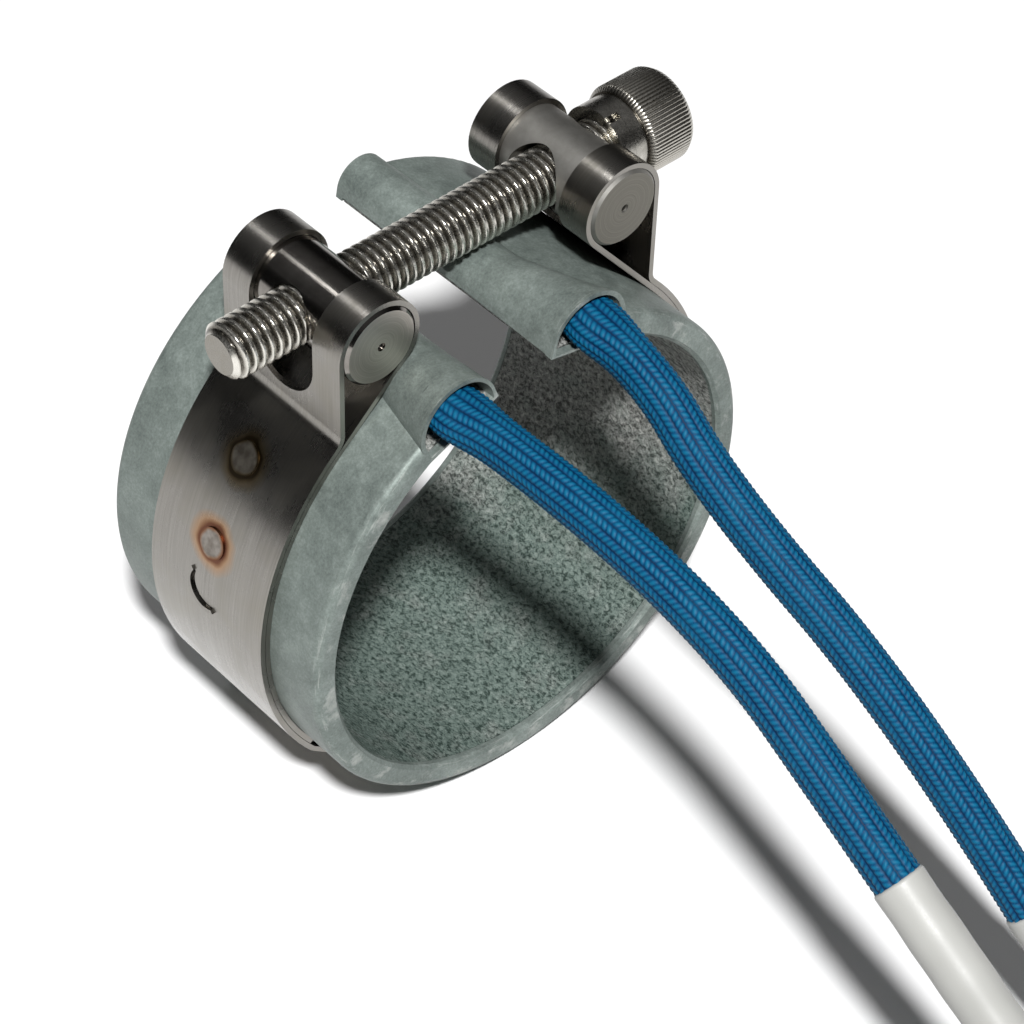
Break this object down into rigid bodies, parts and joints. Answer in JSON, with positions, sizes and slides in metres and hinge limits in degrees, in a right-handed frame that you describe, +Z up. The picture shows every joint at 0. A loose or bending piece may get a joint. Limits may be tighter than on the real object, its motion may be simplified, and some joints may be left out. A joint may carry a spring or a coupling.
{
  "type": "band heater",
  "caption": "Clamp-on nozzle band heater: zinc-coated split ring with lead hoods, looped steel clamp strap, trunnions and socket screw, and blue braided leads.",
  "frame": {"origin": "centre of the bore, half way along its length", "axes": "+Y along the bore to the rear, +Z up through the clamp, +X towards the screw head; the leads leave to -Y"},
  "size_m": [0.0594, 0.1375, 0.0655],
  "materials": {
    "zinc_sheet": "mottled zinc-coated sheet",
    "liner_sheet": "rough scaled sheet",
    "mica": "matt mica",
    "ribbon": "drawn ribbon",
    "crimp_metal": "plain",
    "strap_steel": "rolled stainless strip",
    "trunnion_steel": "turned",
    "screw_steel": "rolled thread, knurled head",
    "wire_jacket": "lapped glass fibre",
    "blue_braid": "braided glass fibre",
    "white_sleeve": "smooth",
    "pin_metal": "tinned"
  },
  "bodies": {
    "band": {"outer_casing": "zinc_sheet", "bore_liner": "liner_sheet", "inner_mica": "mica", "element_card": "mica", "resistance_ribbon": "ribbon", "outer_mica": "mica", "left_crimp": "crimp_metal", "right_crimp": "crimp_metal", "clamp_strap": "strap_steel", "left_lead_wire": "wire_jacket", "right_lead_wire": "wire_jacket", "left_lead_sleeve": "blue_braid", "right_lead_sleeve": "blue_braid", "left_end_sleeve": "white_sleeve", "right_end_sleeve": "white_sleeve", "left_pin_ferrule": "pin_metal", "right_pin_ferrule": "pin_metal"},
    "nut": {"threaded_trunnion": "trunnion_steel"},
    "bar": {"plain_trunnion": "trunnion_steel"},
    "washers": {"lock_washers": "screw_steel"},
    "screw": {"clamp_screw": "screw_steel"}
  },
  "joints": [
    {"name": "nut_swivel", "type": "hinge", "parent": "band", "child": "nut", "pos_m": [-0.0142, -0.0005, 0.03179], "axis": [0, 1, 0], "range_deg": [-0.4, 0.4]},
    {"name": "bar_swivel", "type": "hinge", "parent": "band", "child": "bar", "pos_m": [0.0164, -0.0005, 0.03179], "axis": [0, 1, 0], "range_deg": [-3, 3]},
    {"name": "screw_travel", "type": "slide", "parent": "nut", "child": "washers", "axis": [1, 0, 0], "range_m": [0, 0.014]},
    {"name": "screw_turn", "type": "hinge", "parent": "washers", "child": "screw", "pos_m": [0, -0.0005, 0.03179], "axis": [1, 0, 0], "range_deg": [0, 5041]}
  ],
  "couplings": [
    {"joint": "screw_turn", "follows": "screw_travel", "rad_per_m": 6283.2}
  ]
}
